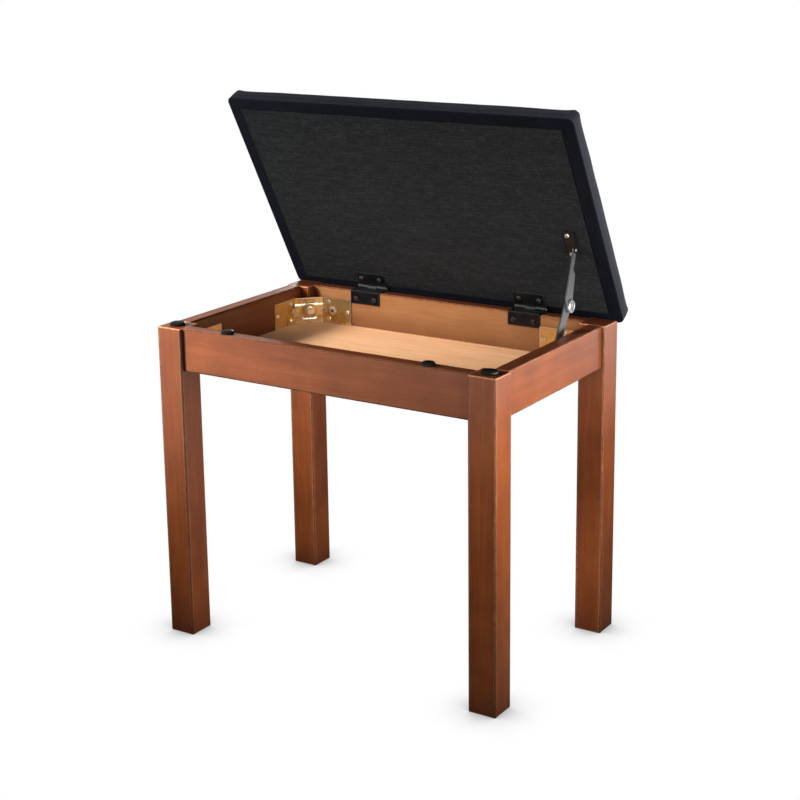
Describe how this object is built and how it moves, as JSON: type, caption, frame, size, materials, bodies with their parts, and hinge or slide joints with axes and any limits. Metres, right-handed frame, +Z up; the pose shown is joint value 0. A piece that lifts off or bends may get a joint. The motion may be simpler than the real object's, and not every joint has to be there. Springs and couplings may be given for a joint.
{
  "type": "piano bench",
  "caption": "Storage piano bench with square legs, a thin upholstered lid hinged at the back and held open by a folding stay over a shallow tray.",
  "frame": {"origin": "on the floor, below the centre of the bench with its lid open", "axes": "+Z up, +X to the right seen from the front, +Y towards the hinges at the back"},
  "size_m": [0.546, 0.3655, 0.7567],
  "materials": {
    "stained_wood": "satin lacquer over a reddish-brown stain",
    "tray_panel": "bare thin board, light brown",
    "lid_board": "bare board",
    "yellow_zinc": "yellow plated",
    "black_steel": "black, satin",
    "steel": "pale plated steel",
    "bumper_rubber": "matt",
    "seat_foam": "upholstery foam",
    "seat_cover": "dark blue-grey cover with a fine linen-like grain",
    "dust_cloth": "coarse dark-grey weave"
  },
  "bodies": {
    "frame": {"apron_back": "stained_wood", "apron_front": "stained_wood", "apron_left": "stained_wood", "apron_right": "stained_wood", "bumper_apron_left": "bumper_rubber", "bumper_apron_right": "bumper_rubber", "bumper_leg_left": "bumper_rubber", "bumper_leg_right": "bumper_rubber", "corner_bracket_back_left": "yellow_zinc", "corner_bracket_back_right": "yellow_zinc", "corner_bracket_front_left": "yellow_zinc", "corner_bracket_front_right": "yellow_zinc", "hanger_bolt_back_left": "yellow_zinc", "hanger_bolt_back_right": "yellow_zinc", "hanger_bolt_front_left": "yellow_zinc", "hanger_bolt_front_right": "yellow_zinc", "hex_nut_back_left": "yellow_zinc", "hex_nut_back_right": "yellow_zinc", "hex_nut_front_left": "yellow_zinc", "hex_nut_front_right": "yellow_zinc", "hinge_left_lower_leaf": "black_steel", "hinge_left_lower_screw_1": "black_steel", "hinge_left_lower_screw_2": "black_steel", "hinge_left_pin": "steel", "hinge_right_lower_leaf": "black_steel", "hinge_right_lower_screw_1": "black_steel", "hinge_right_lower_screw_2": "black_steel", "hinge_right_pin": "steel", "leg_back_left": "stained_wood", "leg_back_right": "stained_wood", "leg_front_left": "stained_wood", "leg_front_right": "stained_wood", "stay_apron_bracket": "black_steel", "stay_apron_rivet": "steel", "stay_apron_screw_1": "steel", "stay_apron_screw_2": "steel", "storage_tray": "tray_panel", "washer_back_left": "yellow_zinc", "washer_back_right": "yellow_zinc", "washer_front_left": "yellow_zinc", "washer_front_right": "yellow_zinc"},
    "lid": {"dust_cloth": "dust_cloth", "hinge_left_upper_leaf": "black_steel", "hinge_left_upper_screw_1": "black_steel", "hinge_left_upper_screw_2": "black_steel", "hinge_right_upper_leaf": "black_steel", "hinge_right_upper_screw_1": "black_steel", "hinge_right_upper_screw_2": "black_steel", "lid_board": "lid_board", "seat_cover": "seat_cover", "seat_foam": "seat_foam", "stay_lid_bracket": "black_steel", "stay_lid_rivet": "steel", "stay_lid_screw_1": "steel", "stay_lid_screw_2": "steel"},
    "stay_lower_arm": {"stay_lower_arm": "steel", "stay_knee_rivet": "steel"},
    "stay_upper_arm": {"stay_upper_arm": "steel", "stay_knee_disc": "steel"}
  },
  "joints": [
    {"name": "lid_hinge", "type": "hinge", "parent": "frame", "child": "lid", "pos_m": [0, 0.154, 0.45315], "axis": [-1, 0, 0], "range_deg": [-61.2, 0]},
    {"name": "stay_lower_pivot", "type": "hinge", "parent": "frame", "child": "stay_lower_arm", "pos_m": [0.2304, 0.0395, 0.42], "axis": [-1, 0, 0], "range_deg": [0, 39.5]},
    {"name": "stay_upper_pivot", "type": "hinge", "parent": "lid", "child": "stay_upper_arm", "pos_m": [0.2327, 0.0925, 0.5575], "axis": [-1, 0, 0], "range_deg": [-36.8, 0]}
  ],
  "couplings": [
    {"joint": "stay_lower_pivot", "follows": "lid_hinge", "ratio": -0.64091},
    {"joint": "stay_upper_pivot", "follows": "lid_hinge", "ratio": 0.59802}
  ]
}
